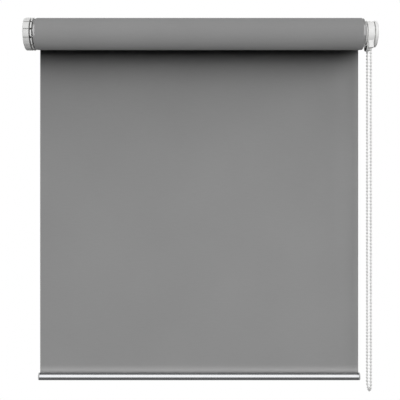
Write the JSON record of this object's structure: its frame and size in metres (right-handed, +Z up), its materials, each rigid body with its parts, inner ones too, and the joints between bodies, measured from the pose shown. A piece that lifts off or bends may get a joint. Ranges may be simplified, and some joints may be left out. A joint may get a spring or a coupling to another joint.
{
  "type": "roller blind",
  "caption": "Roller blind with a grey blackout cloth, a round metal bottom bar, white end covers on wall brackets and an endless bead chain drive.",
  "frame": {"origin": "on the wall plane, midway between the two brackets, level with the roller's axis", "axes": "+Z up, +Y into the wall, +X to the blind's right end (the chain side) seen from the room"},
  "size_m": [0.6461, 0.0715, 0.6877],
  "materials": {
    "coated_cloth": "matt grey foam-coated blackout cloth",
    "white_plastic": "moulded, satin white",
    "grey_plastic": "moulded, light grey",
    "chain_plastic": "moulded beads, light grey",
    "strip_plastic": "extruded PVC, off-white",
    "painted_steel": "powder coated, white",
    "zinc_steel": "zinc plated",
    "spring_steel": "drawn wire",
    "tube_aluminium": "mill finish extrusion",
    "bar_aluminium": "bright anodised extrusion"
  },
  "bodies": {
    "fixed": {"left_bracket": "painted_steel", "pin_bush": "grey_plastic", "left_cover": "white_plastic", "left_lid": "white_plastic", "clutch_base": "white_plastic", "spindle_washer": "zinc_steel", "spindle_screw": "zinc_steel", "chain_guard": "white_plastic", "right_bracket": "painted_steel", "right_cover": "white_plastic", "chain_on_wheel": "chain_plastic", "bead_chain": "chain_plastic", "fabric_drop": "coated_cloth"},
    "roller": {"roller_tube": "tube_aluminium", "cloth_strip": "strip_plastic", "fabric_roll": "coated_cloth", "idle_plug": "grey_plastic", "idle_pin_spring": "spring_steel", "drive_hub": "grey_plastic"},
    "chain_drive": {"chain_wheel": "white_plastic", "wrap_spring_1": "spring_steel", "wrap_spring_2": "spring_steel"},
    "sliding_pin": {"idle_pin": "grey_plastic"},
    "lift": {"bottom_bar": "bar_aluminium", "hem_rod": "strip_plastic", "left_bar_cap": "grey_plastic", "right_bar_cap": "grey_plastic"}
  },
  "joints": [
    {"name": "roller_turn", "type": "hinge", "parent": "fixed", "child": "roller", "pos_m": [0, -0.042, 0], "axis": [1, 0, 0], "range_deg": [0, 1080]},
    {"name": "chain_wheel_turn", "type": "hinge", "parent": "fixed", "child": "chain_drive", "pos_m": [0.3133, -0.042, 0], "axis": [1, 0, 0], "range_deg": [0, 1080], "deforming": ["chain_on_wheel", "bead_chain"]},
    {"name": "bar_lift", "type": "slide", "parent": "fixed", "child": "lift", "axis": [0, 0, 1], "range_m": [0, 0.5561], "deforming": ["fabric_drop"]},
    {"name": "idle_pin_slide", "type": "slide", "parent": "roller", "child": "sliding_pin", "axis": [1, 0, 0], "range_m": [0, 0.009], "stiffness_N_per_m": 800, "springref_m": -0.003, "deforming": ["idle_pin_spring"]}
  ],
  "couplings": [
    {"joint": "bar_lift", "follows": "roller_turn", "m_per_rad": 0.0295},
    {"joint": "chain_wheel_turn", "follows": "roller_turn", "ratio": 1}
  ]
}
